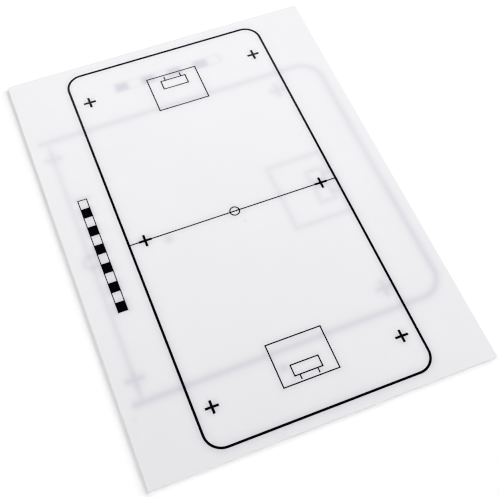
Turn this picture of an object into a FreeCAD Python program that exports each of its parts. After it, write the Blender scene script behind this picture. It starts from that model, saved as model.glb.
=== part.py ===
import FreeCAD, Part
import math
import os

os.makedirs("parts", exist_ok=True)

# A coach's tactics board for floorball: one stiff, milky sheet of plastic, printed in
# black on both faces. The front shows a whole rink, the back shows half a rink, larger.
# Frame: origin at the centre of the back face, +X across the sheet, +Y along it to the
# far end, +Z out of the front face. Millimetres.

# ---------------------------------------------------------------- driving dimensions
SHEET_W = 305.0          # across, X
SHEET_L = 421.8          # along, Y
SHEET_T = 2.0            # thickness, Z
CORNER_R = 1.2           # the cut corners are only broken, not rounded
EDGE_R = 0.25            # softened rim of both faces

INK_T = 0.05             # cured ink film, flush with the face that carries it

# A rink is 40 m x 20 m. Everything below is in rink metres times a drawing scale.
RINK_L = 40.0
RINK_W = 20.0
RINK_CORNER = 1.53       # radius of the boards' corners
CREASE_W = 5.0           # goal crease, across
CREASE_L = 4.0           # goal crease, along
CREASE_BACK = 2.85       # its back line, from the end of the rink
KEEPER_W = 2.5           # goalkeeper area, across
KEEPER_L = 1.0           # goalkeeper area, along
KEEPER_BACK = 3.495      # its back line, from the end of the rink
POST_X = 0.8             # goal post marks, each side of the middle
POST_L = 0.455           # how far they stand back from the goalkeeper area
DOT_X = 8.5              # face-off crosses, from the middle
DOT_END = 3.5            # face-off crosses, from the end of the rink
SPOT_R = 0.434           # ring at the centre spot

# front print: the whole rink
F_SCALE = 10.0           # mm per rink metre
F_X, F_Y, F_TURN = 1.65, -0.1, 0.0
F_LINE = 0.22            # border and crosses
F_THIN = 0.115           # all the other lines
F_ARM = 1.19             # face-off cross, tip to tip
# plain scale bar in the front's left margin, along Y
F_BAR_X, F_BAR_Y = -122.9, 1.0
F_BAR_N, F_BAR_H = 12, 9.0

# back print: half a rink, its end to the right when seen from the front
B_SCALE = 13.73
B_X, B_Y, B_TURN = 3.19, -2.95, 0.37
B_LINE = 0.20            # border and crosses
B_THIN = 0.13            # all the other lines
B_ARM = 1.25             # face-off cross, tip to tip
B_OVER = 0.68            # how far the side lines run past the centre line, in rink metres
# plain scale bar beside the back's half rink, along X
B_BAR_X, B_BAR_Y = -1.2, 172.4
B_BAR_N, B_BAR_H = 8, 10.0
BAR_RIM = 0.9            # outline of the bars' open blocks

V = FreeCAD.Vector


# ---------------------------------------------------------------- flat outlines
def polygon(points):
    """A flat face from its corner points."""
    pts = [V(x, y, 0) for x, y in points]
    return Part.Face(Part.makePolygon(pts + pts[:1]))


def bar(x0, y0, x1, y1):
    """A flat rectangle between two opposite corners."""
    x0, x1 = sorted((x0, x1))
    y0, y1 = sorted((y0, y1))
    return polygon([(x0, y0), (x1, y0), (x1, y1), (x0, y1)])


def rounded(x0, y0, x1, y1, r):
    """A flat rectangle with rounded corners."""
    k = r * math.sqrt(0.5)
    e = [
        Part.makeLine(V(x0 + r, y0, 0), V(x1 - r, y0, 0)),
        Part.Arc(V(x1 - r, y0, 0), V(x1 - r + k, y0 + r - k, 0), V(x1, y0 + r, 0)).toShape(),
        Part.makeLine(V(x1, y0 + r, 0), V(x1, y1 - r, 0)),
        Part.Arc(V(x1, y1 - r, 0), V(x1 - r + k, y1 - r + k, 0), V(x1 - r, y1, 0)).toShape(),
        Part.makeLine(V(x1 - r, y1, 0), V(x0 + r, y1, 0)),
        Part.Arc(V(x0 + r, y1, 0), V(x0 + r - k, y1 - r + k, 0), V(x0, y1 - r, 0)).toShape(),
        Part.makeLine(V(x0, y1 - r, 0), V(x0, y0 + r, 0)),
        Part.Arc(V(x0, y0 + r, 0), V(x0 + r - k, y0 + r - k, 0), V(x0 + r, y0, 0)).toShape(),
    ]
    return Part.Face(Part.Wire(e))


def holed(outer, inner):
    """A flat face with the outlines of other faces cut out of it."""
    return Part.makeFace([outer.OuterWire] + [f.OuterWire for f in inner], "Part::FaceMakerBullseye")


def frame_lines(x0, y0, x1, y1, w):
    """The four lines of a rectangle, of width w, centred on its sides."""
    h = w / 2
    return holed(bar(x0 - h, y0 - h, x1 + h, y1 + h), [bar(x0 + h, y0 + h, x1 - h, y1 - h)])


def disc(x, y, r):
    return Part.Face(Part.Wire(Part.makeCircle(r, V(x, y, 0))))


def ring(x, y, r, w):
    return holed(disc(x, y, r + w / 2), [disc(x, y, r - w / 2)])


def cross(x, y, arm, w):
    """A plus sign, tip to tip arm, of bar width w."""
    a, h = arm / 2, w / 2
    return polygon([
        (x - a, y - h), (x - h, y - h), (x - h, y - a), (x + h, y - a),
        (x + h, y - h), (x + a, y - h), (x + a, y + h), (x + h, y + h),
        (x + h, y + a), (x - h, y + a), (x - h, y + h), (x - a, y + h),
    ])


def scale_bar(x, y, step, count, height, along_y):
    """A plain scale bar: blocks filled and open in turn, each one rink metre long."""
    n = step * count
    windows = []
    for i in range(1, count, 2):
        a = -n / 2 + step * i
        b = a + step - (BAR_RIM if i == count - 1 else 0.0)
        windows.append((a, -height / 2 + BAR_RIM, b, height / 2 - BAR_RIM))

    def place(a, b, c, d):
        if along_y:
            return bar(x + b, y + a, x + d, y + c)
        return bar(x + a, y + b, x + c, y + d)

    return holed(place(-n / 2, -height / 2, n / 2, height / 2), [place(*w) for w in windows])


# ---------------------------------------------------------------- the front print
def front_marks():
    s = F_SCALE
    thick, thin = F_LINE * s, F_THIN * s
    hw, hl, r = RINK_W / 2 * s, RINK_L / 2 * s, RINK_CORNER * s
    t = thick / 2
    marks = {}
    marks["front_border_line"] = holed(
        rounded(-hw - t, -hl - t, hw + t, hl + t, r + t),
        [rounded(-hw + t, -hl + t, hw - t, hl - t, r - t)],
    )
    spot = ring(0, 0, SPOT_R * s, thin)
    marks["front_centre_spot_ring"] = spot
    arm = F_ARM * s
    for name, x, y in (
        ("front_centre_cross_left", -DOT_X, 0.0),
        ("front_centre_cross_right", DOT_X, 0.0),
        ("front_corner_cross_far_left", -DOT_X, RINK_L / 2 - DOT_END),
        ("front_corner_cross_far_right", DOT_X, RINK_L / 2 - DOT_END),
        ("front_corner_cross_near_left", -DOT_X, -RINK_L / 2 + DOT_END),
        ("front_corner_cross_near_right", DOT_X, -RINK_L / 2 + DOT_END),
    ):
        marks[name] = cross(x * s, y * s, arm, thick)
    line = bar(-hw + t, -thin / 2, hw - t, thin / 2)
    marks["front_centre_line"] = line.cut([
        spot, marks["front_centre_cross_left"], marks["front_centre_cross_right"],
    ])
    for end, sign in (("far", 1), ("near", -1)):
        back = (RINK_L / 2 - CREASE_BACK) * s
        marks["front_goal_crease_" + end] = frame_lines(
            -CREASE_W / 2 * s, min(sign * back, sign * (back - CREASE_L * s)),
            CREASE_W / 2 * s, max(sign * back, sign * (back - CREASE_L * s)), thin,
        )
        back = (RINK_L / 2 - KEEPER_BACK) * s
        marks["front_keeper_area_" + end] = frame_lines(
            -KEEPER_W / 2 * s, min(sign * back, sign * (back - KEEPER_L * s)),
            KEEPER_W / 2 * s, max(sign * back, sign * (back - KEEPER_L * s)), thin,
        )
        a, b = sign * (back + thin / 2), sign * (back + POST_L * s)
        marks["front_goal_posts_" + end] = Part.Compound([
            bar(x * s - thin / 2, a, x * s + thin / 2, b) for x in (-POST_X, POST_X)
        ])
    return marks


# ---------------------------------------------------------------- the back print
def back_marks():
    s = B_SCALE
    thick, thin = B_LINE * s, B_THIN * s
    h, r, t = RINK_W / 2 * s, RINK_CORNER * s, thick / 2
    left = -h - B_OVER * s
    k = math.sqrt(0.5)

    def u_path(off):
        """Open outline of the half rink's border, off to the outside of its middle."""
        q = r + off
        xc, yc = h - r, h - r
        return [
            Part.makeLine(V(left, h + off, 0), V(xc, h + off, 0)),
            Part.Arc(V(xc, h + off, 0), V(xc + q * k, yc + q * k, 0), V(h + off, yc, 0)).toShape(),
            Part.makeLine(V(h + off, yc, 0), V(h + off, -yc, 0)),
            Part.Arc(V(h + off, -yc, 0), V(xc + q * k, -yc - q * k, 0), V(xc, -h - off, 0)).toShape(),
            Part.makeLine(V(xc, -h - off, 0), V(left, -h - off, 0)),
        ]

    ends = [
        Part.makeLine(V(left, h + t, 0), V(left, h - t, 0)),
        Part.makeLine(V(left, -h - t, 0), V(left, -h + t, 0)),
    ]
    edges = Part.__sortEdges__(u_path(t) + u_path(-t) + ends)
    marks = {"back_border_line": Part.Face(Part.Wire(edges))}

    spot = ring(-h, 0, SPOT_R * s, thin)
    marks["back_centre_spot_ring"] = spot
    arm = B_ARM * s
    dot = DOT_X * s
    for name, x, y in (
        ("back_centre_cross_far", -h, dot),
        ("back_centre_cross_near", -h, -dot),
        ("back_corner_cross_far", h - DOT_END * s, dot),
        ("back_corner_cross_near", h - DOT_END * s, -dot),
    ):
        marks[name] = cross(x, y, arm, thick)
    line = bar(-h - thin / 2, -h + t, -h + thin / 2, h - t)
    marks["back_centre_line"] = line.cut([
        spot, marks["back_centre_cross_far"], marks["back_centre_cross_near"],
    ])
    b = h - CREASE_BACK * s
    marks["back_goal_crease"] = frame_lines(
        b - CREASE_L * s, -CREASE_W / 2 * s, b, CREASE_W / 2 * s, thin)
    b = h - KEEPER_BACK * s
    marks["back_keeper_area"] = frame_lines(
        b - KEEPER_L * s, -KEEPER_W / 2 * s, b, KEEPER_W / 2 * s, thin)
    marks["back_goal_posts"] = Part.Compound([
        bar(b + thin / 2, y * s - thin / 2, b + POST_L * s, y * s + thin / 2)
        for y in (-POST_X, POST_X)
    ])
    return marks


def placed(flat, x, y, turn):
    """A mark moved from its print's own middle to its place on the sheet."""
    flat = flat.copy()
    flat.rotate(V(0, 0, 0), V(0, 0, 1), turn)
    flat.translate(V(x, y, 0))
    return flat


def film(flat, z):
    """An ink film: the flat mark, INK_T thick, with its lower side at z."""
    solids = []
    for face in flat.Faces:
        s = face.extrude(V(0, 0, INK_T))
        s.translate(V(0, 0, z))
        solids.append(s)
    return solids[0] if len(solids) == 1 else Part.Compound(solids)


films = {}
for name, flat in front_marks().items():
    films[name] = film(placed(flat, F_X, F_Y, F_TURN), SHEET_T - INK_T)
films["front_scale_bar"] = film(
    scale_bar(F_BAR_X, F_BAR_Y, F_SCALE, F_BAR_N, F_BAR_H, True), SHEET_T - INK_T)
for name, flat in back_marks().items():
    films[name] = film(placed(flat, B_X, B_Y, B_TURN), 0.0)
films["back_scale_bar"] = film(
    scale_bar(B_BAR_X, B_BAR_Y, B_SCALE, B_BAR_N, B_BAR_H, False), 0.0)

# ---------------------------------------------------------------- the sheet
sheet = rounded(-SHEET_W / 2, -SHEET_L / 2, SHEET_W / 2, SHEET_L / 2, CORNER_R)
sheet = sheet.extrude(V(0, 0, SHEET_T))
rims = [
    e for e in sheet.Edges
    if abs(e.BoundBox.ZMin - e.BoundBox.ZMax) < 1e-6
]
sheet = sheet.makeFillet(EDGE_R, rims)
# every mark lies in the face, so both faces stay flat
for side in ("front_", "back_"):
    inks = [s for n, f in films.items() if n.startswith(side) for s in f.Solids]
    sheet = sheet.cut(inks)
if len(sheet.Solids) == 1:
    sheet = sheet.Solids[0]

nodes = {"board_sheet": sheet, **films}
for name, shape in nodes.items():
    good = shape.isValid() and all(s.isClosed() for s in shape.Solids)
    b = shape.BoundBox
    print("%-30s solids %2d valid %s volume %10.3f mm3  x %8.2f..%8.2f y %8.2f..%8.2f z %5.2f..%5.2f" % (
        name, len(shape.Solids), good, shape.Volume, b.XMin, b.XMax, b.YMin, b.YMax, b.ZMin, b.ZMax))
    shape.exportStep("parts/" + name + ".step")
print("nodes", len(nodes))
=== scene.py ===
import math

import bpy
from mathutils import Matrix, Vector

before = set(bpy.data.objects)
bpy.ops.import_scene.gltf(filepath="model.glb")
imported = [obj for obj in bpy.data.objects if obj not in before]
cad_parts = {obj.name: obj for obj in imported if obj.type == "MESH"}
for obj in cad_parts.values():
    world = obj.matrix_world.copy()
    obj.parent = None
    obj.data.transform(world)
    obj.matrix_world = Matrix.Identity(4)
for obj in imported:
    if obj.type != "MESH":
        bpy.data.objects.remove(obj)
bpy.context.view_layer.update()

# A milky plastic tactics board, printed in black on both faces, lying on a white table.
# All coordinates are metres in the part's own frame: origin at the centre of the back face,
# +X across the sheet, +Y to its far end, +Z out of the front face.

SHEET_W, SHEET_L, SHEET_T = 305.0, 421.8, 2.0    # mm
# faint smudges from use on the front face: x, y, radius in mm, depth
SMUDGES = ((-63.8, -6.4, 3.1, 0.14), (6.6, -12.9, 1.2, 0.08), (-16.7, -155.6, 2.8, 0.15), (-144.2, -153.1, 2.1, 0.04))
F_SCALE, F_X, F_Y = 10.0, 1.65, -0.1
F_LINE, F_THIN = 0.22, 0.115     # print line widths, in rink metres
B_SCALE, B_X, B_Y, B_TURN = 13.73, 3.19, -2.95, 0.37
B_LINE, B_THIN = 0.20, 0.13
F_BAR = (-122.9, 1.0, 12, 9.0)
B_BAR = (-1.2, 172.4, 8, 10.0)
BLUR = 1.9               # mm, how far the milky sheet spreads the print on its other face
HALO, HALO_L = 0.60, 2.3 # light lost in the sheet beside its own print, and over how many mm it fades

scene = bpy.context.scene


# ------------------------------------------------------------------ node arithmetic
class Val:
    """One value in a shader tree. Arithmetic on it adds Math nodes."""

    def __init__(self, tree, socket):
        self.tree, self.socket = tree, socket

    def op(self, name, *others, clamp=False):
        n = self.tree.nodes.new("ShaderNodeMath")
        n.operation = name
        n.use_clamp = clamp
        for i, v in enumerate((self,) + others):
            if isinstance(v, Val):
                self.tree.links.new(v.socket, n.inputs[i])
            else:
                n.inputs[i].default_value = v
        return Val(self.tree, n.outputs[0])

    def __add__(self, o):
        return self.op("ADD", o)

    def __sub__(self, o):
        return self.op("SUBTRACT", o)

    def __mul__(self, o):
        return self.op("MULTIPLY", o)

    def __neg__(self):
        return self.op("MULTIPLY", -1.0)

    def __abs__(self):
        return self.op("ABSOLUTE")

    __radd__ = __add__
    __rmul__ = __mul__

    def less_from(self, a):
        """a - self"""
        return self.op("MULTIPLY_ADD", -1.0, a)


def far(x, y):
    """Length of the vector (x, y)."""
    return (x * x + y * y).op("SQRT")


def edge(x):
    """0 to 1 across a blurred edge at x = 0, x in mm."""
    return (x * (0.85 / BLUR)).op("TANH").op("MULTIPLY_ADD", 0.5, 0.5)


def stroke(d, w):
    """How dark a blurred line of width w is, d mm from its middle."""
    peak = 2.0 / math.pi * math.atan(math.sinh(w / (2.0 * BLUR)))
    spread = (d * (1.0 / (1.35 + 0.38 * w))).op("COSH")
    return spread.op("POWER", -1.0) * peak


def halo_shade(d, w):
    """How much light the sheet loses d mm from the middle of a line of width w on the same face."""
    return (abs(d) * (-1.0 / HALO_L)).op("EXPONENT") * (HALO * math.sinh(w / (2.0 * HALO_L)))


def window(x, a, b):
    """A blurred step up at a and down at b."""
    return edge(x - a) - edge(x - b)


def outline(x, y, hx, hy, r):
    """Distance from the outline of a rectangle of half sizes hx and hy, corner radius r, centred at 0."""
    qx, qy = abs(x) - (hx - r), abs(y) - (hy - r)
    outside = far(qx.op("MAXIMUM", 0.0), qy.op("MAXIMUM", 0.0))
    inside = qx.op("MAXIMUM", qy).op("MINIMUM", 0.0)
    return outside + inside - r


def plus_sign(x, y, arm, w, line, *others):
    """A plus sign, and the other lines that meet it or each other."""
    a = line(y, w) * window(x, -arm / 2, arm / 2)
    b = line(x, w) * window(y, -arm / 2, arm / 2)
    if line is halo_shade:
        c = a + b - a * b
        for other in others:
            c += other
        return c
    # seen through the sheet, strokes hardly add up where they cross
    c = a.op("POWER", 3.0) + b.op("POWER", 3.0)
    for other in others:
        c += other.op("POWER", 3.0)
    return c.op("POWER", 1.0 / 3.0)


def blocks(x, y, step, count, height, line):
    """A scale bar along x: blocks filled and open in turn, with an outline."""
    n = step * count / 2
    m = (x + n - step / 2).op("PINGPONG", step) - step / 2      # below 0 in the filled blocks
    if line is halo_shade:
        depth = (m.op("MAXIMUM", 0.0) * (-1.0 / HALO_L)).op("EXPONENT") * (0.36 * HALO) + 0.14 * HALO
        away = outline(x, y, n, height / 2, 0.0).op("MAXIMUM", 0.0)
        return depth * (away * (-1.0 / HALO_L)).op("EXPONENT")
    filled = edge(-m)
    solid = filled * window(y, -height / 2, height / 2)
    rim = line(abs(y) - (height / 2 - 0.45), 0.9) * filled.less_from(1.0)
    return (solid + rim) * window(x, -n, n)


def whole_rink(x, y, line):
    """The front print at x, y in mm on the sheet, each line drawn with the profile given."""
    s = F_SCALE
    w, t = F_LINE * s, F_THIN * s
    u, v = x - F_X, y - F_Y
    au, av = abs(u), abs(v)
    border = line(outline(u, v, 10 * s, 20 * s, 1.53 * s), w)
    middle = line(v, t) * edge(au.less_from(10 * s))
    c = plus_sign(au - 8.5 * s, v, 1.19 * s, w, line, border, middle)
    c += line(far(u, v) - 0.434 * s, t)
    c += plus_sign(au - 8.5 * s, av - 16.5 * s, 1.19 * s, w, line)
    c += line(outline(u, av - 15.15 * s, 2.5 * s, 2.0 * s, 0.0), t)
    c += line(outline(u, av - 16.005 * s, 1.25 * s, 0.5 * s, 0.0), t)
    c += line(au - 0.8 * s, t) * window(av, 16.505 * s, 16.96 * s)
    c += blocks(y - F_BAR[1], x - F_BAR[0], s, F_BAR[2], F_BAR[3], line)
    return c


def half_rink(x, y, line):
    """The back print at x, y in mm on the sheet, each line drawn with the profile given."""
    s = B_SCALE
    w, t, h = B_LINE * s, B_THIN * s, 10 * s
    ca, sa = math.cos(math.radians(B_TURN)), math.sin(math.radians(B_TURN))
    dx, dy = x - B_X, y - B_Y
    u, v = dx * ca + dy * sa, dy * ca - dx * sa
    av = abs(v)
    # the border is open at the centre line, so its box runs far past that end
    border = line(outline(u + 3 * h, v, 4 * h, h, 1.53 * s), w) * edge(u + (h + 0.68 * s))
    middle = line(u + h, t) * edge(av.less_from(h))
    c = plus_sign(u + h, av - 8.5 * s, 1.25 * s, w, line, border, middle)
    c += line(far(u + h, v) - 0.434 * s, t)
    c += plus_sign(u - 6.5 * s, av - 8.5 * s, 1.25 * s, w, line)
    c += line(outline(u - 5.15 * s, v, 2.0 * s, 2.5 * s, 0.0), t)
    c += line(outline(u - 6.005 * s, v, 0.5 * s, 1.25 * s, 0.0), t)
    c += line(av - 0.8 * s, t) * window(u, 6.505 * s, 6.96 * s)
    c += blocks(x - B_BAR[0], y - B_BAR[1], s, B_BAR[2], B_BAR[3], line)
    return c


# ------------------------------------------------------------------ materials
def new_material(name):
    m = bpy.data.materials.new(name)
    m.use_nodes = True
    t = m.node_tree
    t.nodes.clear()
    out = t.nodes.new("ShaderNodeOutputMaterial")
    p = t.nodes.new("ShaderNodeBsdfPrincipled")
    t.links.new(p.outputs[0], out.inputs["Surface"])
    return m, t, p


def coords(t):
    return t.nodes.new("ShaderNodeTexCoord").outputs["Object"]


def noise(t, vector, scale, detail=2.0, rough=0.5, stretch=None):
    if stretch is not None:
        mp = t.nodes.new("ShaderNodeMapping")
        mp.inputs["Scale"].default_value = stretch
        t.links.new(vector, mp.inputs["Vector"])
        vector = mp.outputs[0]
    n = t.nodes.new("ShaderNodeTexNoise")
    n.inputs["Scale"].default_value = scale
    n.inputs["Detail"].default_value = detail
    n.inputs["Roughness"].default_value = rough
    t.links.new(vector, n.inputs["Vector"])
    return Val(t, n.outputs["Fac"])


def mix(t, fac, a, b):
    """Colour a to colour b. Each is a colour or a socket."""
    n = t.nodes.new("ShaderNodeMix")
    n.data_type = "RGBA"
    t.links.new(fac.socket, n.inputs[0])
    for i, v in ((6, a), (7, b)):
        if isinstance(v, tuple):
            n.inputs[i].default_value = v + (1.0,)
        else:
            t.links.new(v, n.inputs[i])
    return n.outputs[2]


def bump(t, height, strength, distance, normal=None):
    n = t.nodes.new("ShaderNodeBump")
    n.inputs["Strength"].default_value = strength
    n.inputs["Distance"].default_value = distance
    t.links.new(height.socket, n.inputs["Height"])
    if normal is not None:
        t.links.new(normal, n.inputs["Normal"])
    return n.outputs[0]


def sheet_material():
    m, t, p = new_material("milky_plastic")
    obj = coords(t)
    sep = t.nodes.new("ShaderNodeSeparateXYZ")
    t.links.new(obj, sep.inputs[0])
    x, y, z = (Val(t, s) * 1000.0 for s in sep.outputs)

    # the print on the other face shows through, blurred and violet, and painted shade makes the sheet
    # a little darker close beside the print on the same face, for light the print keeps out
    up = z.op("GREATER_THAN", SHEET_T / 2)
    down = up.less_from(1.0)
    # painted shade: the show-through is darker towards the near end and fainter towards the far end
    pale = y.op("MULTIPLY_ADD", -0.00155, 0.945) + x * y.op("MULTIPLY_ADD", 0.0000028, -0.0004)
    # close to the right edge a little stronger, but weaker half-way along it, where painted light fades it
    q = (y - 17.0) * (1.0 / 35.0)
    halfway = (-(q * q)).op("EXPONENT")
    pale = pale * ((x - 120.0).op("MULTIPLY", 0.05, clamp=True) * halfway.op("MULTIPLY_ADD", -0.20, 0.06) + 1.0)
    ghost = half_rink(x, y, stroke) * up * pale + whole_rink(x, y, stroke) * down
    # painted shade beside the print on each face, on the front a little stronger towards the near end
    halo = whole_rink(x, y, halo_shade) * up * y.op("MULTIPLY_ADD", -0.00125, 0.875) + half_rink(x, y, halo_shade) * down
    smudge = None
    for sx, sy, r, depth in SMUDGES:
        one = (far(x - sx, y - sy).op("POWER", 2.0) * (-0.5 / (r * r))).op("EXPONENT") * depth
        smudge = one if smudge is None else smudge + one

    cloud = noise(t, obj, 14.0, 2.0)
    grain = noise(t, obj, 1600.0, 2.0)
    # painted shade: the sheet is darker towards the near end and the left side, besides its own cloudy variation and
    # grain
    tone_and_shade = cloud * 0.155 + grain * 0.07 + x * 0.00026 + y * 0.00079 - x * y * 0.0000023 - y * y * 0.0000026
    white = mix(t, tone_and_shade.op("ADD", 0.43, clamp=True), (0.732, 0.7285, 0.7495), (0.876, 0.874, 0.8925))
    seen = mix(t, ghost.op("MINIMUM", 1.0), white, (0.546, 0.527, 0.606))
    seen = mix(t, (halo + smudge * up).op("MINIMUM", 0.9), seen, (0.02, 0.0, 0.07))

    # the cut edges are a little duller, partly their own colour and partly painted shade, with fine marks of the cut
    # across them; the cut faces at the near and far end are painted lighter than those at the sides, as painted light
    geo = t.nodes.new("ShaderNodeNewGeometry")
    nsep = t.nodes.new("ShaderNodeSeparateXYZ")
    t.links.new(geo.outputs["True Normal"], nsep.inputs[0])
    cut = abs(Val(t, nsep.outputs[2])).op("LESS_THAN", 0.4)
    marks = noise(t, obj, 1.0, 3.0, 0.6, (1700.0, 1700.0, 160.0))
    # painted light: the end faces are lighter than the side faces
    end_face_light = abs(Val(t, nsep.outputs[1])) * 0.7
    rim = mix(t, (marks + end_face_light).op("MULTIPLY", 0.7, clamp=True), (0.60, 0.60, 0.615), (0.80, 0.80, 0.815))
    # painted shade: both faces are darker in a band under a millimetre wide along the near and far end
    end_band_shade = (abs(y) - (SHEET_L / 2 - 0.9)).op("MULTIPLY", 1.6, clamp=True)
    seen = mix(t, end_band_shade, seen, mix(t, marks, (0.68, 0.68, 0.695), (0.74, 0.74, 0.755)))
    t.links.new(mix(t, cut, seen, rim), p.inputs["Base Color"])

    streak = noise(t, obj, 1.0, 2.0, 0.5, (420.0, 9.0, 1.0))
    rough = (streak * 0.05 + grain * 0.08 + cloud * 0.05) + 0.36
    t.links.new((rough + cut * 0.15).socket, p.inputs["Roughness"])
    fine = bump(t, grain, 0.25, 0.00002)
    t.links.new(bump(t, marks * cut, 0.4, 0.00004, fine), p.inputs["Normal"])
    p.inputs["IOR"].default_value = 1.49
    return m


def ink_material(name):
    m, t, p = new_material(name)
    obj = coords(t)
    lay = noise(t, obj, 60.0, 3.0)
    fine = noise(t, obj, 2600.0, 2.0)
    fac = (lay * 0.6 + fine * 0.4).op("MULTIPLY_ADD", 1.8, -0.4, clamp=True)
    t.links.new(mix(t, fac, (0.0006, 0.0004, 0.0010), (0.0018, 0.0014, 0.0028)), p.inputs["Base Color"])
    rough = (lay * 0.06 + fine * 0.05) + 0.11
    t.links.new(rough.socket, p.inputs["Roughness"])
    t.links.new(bump(t, fine, 0.3, 0.00001), p.inputs["Normal"])
    p.inputs["IOR"].default_value = 1.48
    p.inputs["Specular IOR Level"].default_value = 0.15
    return m


sheet = sheet_material()
inks = {"front": ink_material("front_print_ink"), "back": ink_material("back_print_ink")}
for name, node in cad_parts.items():
    mat = sheet if name == "board_sheet" else inks[name.split("_")[0]]
    node.data.materials.clear()
    node.data.materials.append(mat)

# ------------------------------------------------------------------ table
bpy.ops.mesh.primitive_plane_add(size=40.0, location=(0, 0, -0.00005))
floor = bpy.context.object
floor.name = "table"
fm, ft, fp = new_material("white_table")
fp.inputs["Roughness"].default_value = 0.9
fp.inputs["Specular IOR Level"].default_value = 0.1
fp.inputs["Emission Color"].default_value = (1.0, 1.0, 1.0, 1.0)
# a little greyer behind the far end, where more light falls
fsep = ft.nodes.new("ShaderNodeSeparateXYZ")
ft.links.new(coords(ft), fsep.inputs[0])
beyond = Val(ft, fsep.outputs[1]).op("MULTIPLY_ADD", 2.5, 0.25, clamp=True)
ft.links.new(mix(ft, beyond, (0.960, 0.960, 0.960), (0.925, 0.925, 0.925)), fp.inputs["Base Color"])
# it is lit a little more further out, so that it stays white up to the horizon
away = ft.nodes.new("ShaderNodeVectorMath")
away.operation = "LENGTH"
ft.links.new(coords(ft), away.inputs[0])
lit = ft.nodes.new("ShaderNodeMapRange")
lit.interpolation_type = "SMOOTHSTEP"
ft.links.new(away.outputs["Value"], lit.inputs["Value"])
lit.inputs["From Min"].default_value = 0.45
lit.inputs["From Max"].default_value = 1.6
lit.inputs["To Min"].default_value = 0.0
lit.inputs["To Max"].default_value = 0.2
ft.links.new(lit.outputs[0], fp.inputs["Emission Strength"])
floor.data.materials.append(fm)

# ------------------------------------------------------------------ light
# soft light round a white table: wide keys from the right, weaker ones from the left and the
# near side, a strip behind the far end that the ink there mirrors, and a white backdrop all
# round that fades out above
world = bpy.data.worlds.new("studio")
scene.world = world
world.use_nodes = True
wt = world.node_tree
bg = wt.nodes["Background"]
bg.inputs["Color"].default_value = (1.0, 1.0, 1.0, 1.0)
sky = wt.nodes.new("ShaderNodeSeparateXYZ")
wt.links.new(wt.nodes.new("ShaderNodeTexCoord").outputs["Generated"], sky.inputs[0])
fade = wt.nodes.new("ShaderNodeMapRange")
fade.interpolation_type = "SMOOTHSTEP"
wt.links.new(sky.outputs[2], fade.inputs["Value"])
fade.inputs["From Min"].default_value = 0.20
fade.inputs["From Max"].default_value = 0.55
fade.inputs["To Min"].default_value = 0.78
fade.inputs["To Max"].default_value = 0.0
# white where it meets the table, pale grey above
haze = wt.nodes.new("ShaderNodeMapRange")
haze.interpolation_type = "SMOOTHSTEP"
wt.links.new(sky.outputs[2], haze.inputs["Value"])
haze.inputs["From Min"].default_value = 0.005
haze.inputs["From Max"].default_value = 0.05
haze.inputs["To Min"].default_value = 0.24
haze.inputs["To Max"].default_value = 0.0
wt.links.new((Val(wt, fade.outputs[0]) + Val(wt, haze.outputs[0])).socket, bg.inputs["Strength"])


def light(name, kind, azimuth, elevation, power, distance=3.0):
    """A light that faces the board. Azimuth 0 is +X, 90 is +Y."""
    a, e = math.radians(azimuth), math.radians(elevation)
    place = Vector((math.cos(e) * math.cos(a), math.cos(e) * math.sin(a), math.sin(e))) * distance
    d = bpy.data.lights.new(name, kind)
    d.energy = power
    o = bpy.data.objects.new(name, d)
    scene.collection.objects.link(o)
    o.location = place
    o.rotation_euler = (-place).to_track_quat("-Z", "Y").to_euler()
    o.visible_camera = False
    return o


def wide_light(name, azimuth, elevation, power, angle):
    """A soft light so far off that it is even over the whole board. It leaves no glare."""
    o = light(name, "SUN", azimuth, elevation, power)
    o.data.angle = math.radians(angle)
    o.visible_glossy = False


def strip_light(name, place, target, power, length, width):
    """A long soft box at one place, facing another."""
    o = light(name, "AREA", 0.0, 45.0, power)
    o.location = place
    o.rotation_euler = (Vector(target) - Vector(place)).to_track_quat("-Z", "Y").to_euler()
    o.data.shape = "RECTANGLE"
    o.data.size, o.data.size_y = length, width


wide_light("key_right", 0.0, 20.0, 2.13, 40.0)
wide_light("key_far_right", 40.0, 29.0, 1.98, 48.0)
wide_light("high_left", 180.0, 60.0, 0.64, 40.0)
wide_light("fill_left", 203.0, 20.0, 1.15, 40.0)
wide_light("fill_near", 255.0, 22.0, 0.69, 40.0)
strip_light("far_strip", (0.20, 0.81, 0.75), (0.0, 0.2, 0.0), 1.05, 0.64, 0.30)

# ------------------------------------------------------------------ camera
cam_data = bpy.data.cameras.new("camera")
cam = bpy.data.objects.new("camera", cam_data)
scene.collection.objects.link(cam)
right = Vector((0.928476, -0.371058, 0.015765))
up = Vector((0.315887, 0.811325, 0.491902))
back = right.cross(up).normalized()
up = back.cross(right).normalized()
right.normalize()
cam.matrix_world = Matrix((
    (right.x, up.x, back.x, -0.163449),
    (right.y, up.y, back.y, -0.397803),
    (right.z, up.z, back.z, 0.695279),
    (0.0, 0.0, 0.0, 1.0),
))
cam_data.sensor_fit = "HORIZONTAL"
cam_data.sensor_width = 36.0
cam_data.lens = 65.122
cam_data.shift_x = 0.019
cam_data.clip_start = 0.01
scene.camera = cam

scene.view_settings.view_transform = "Standard"
scene.view_settings.look = "None"
scene.cycles.filter_width = 1.1
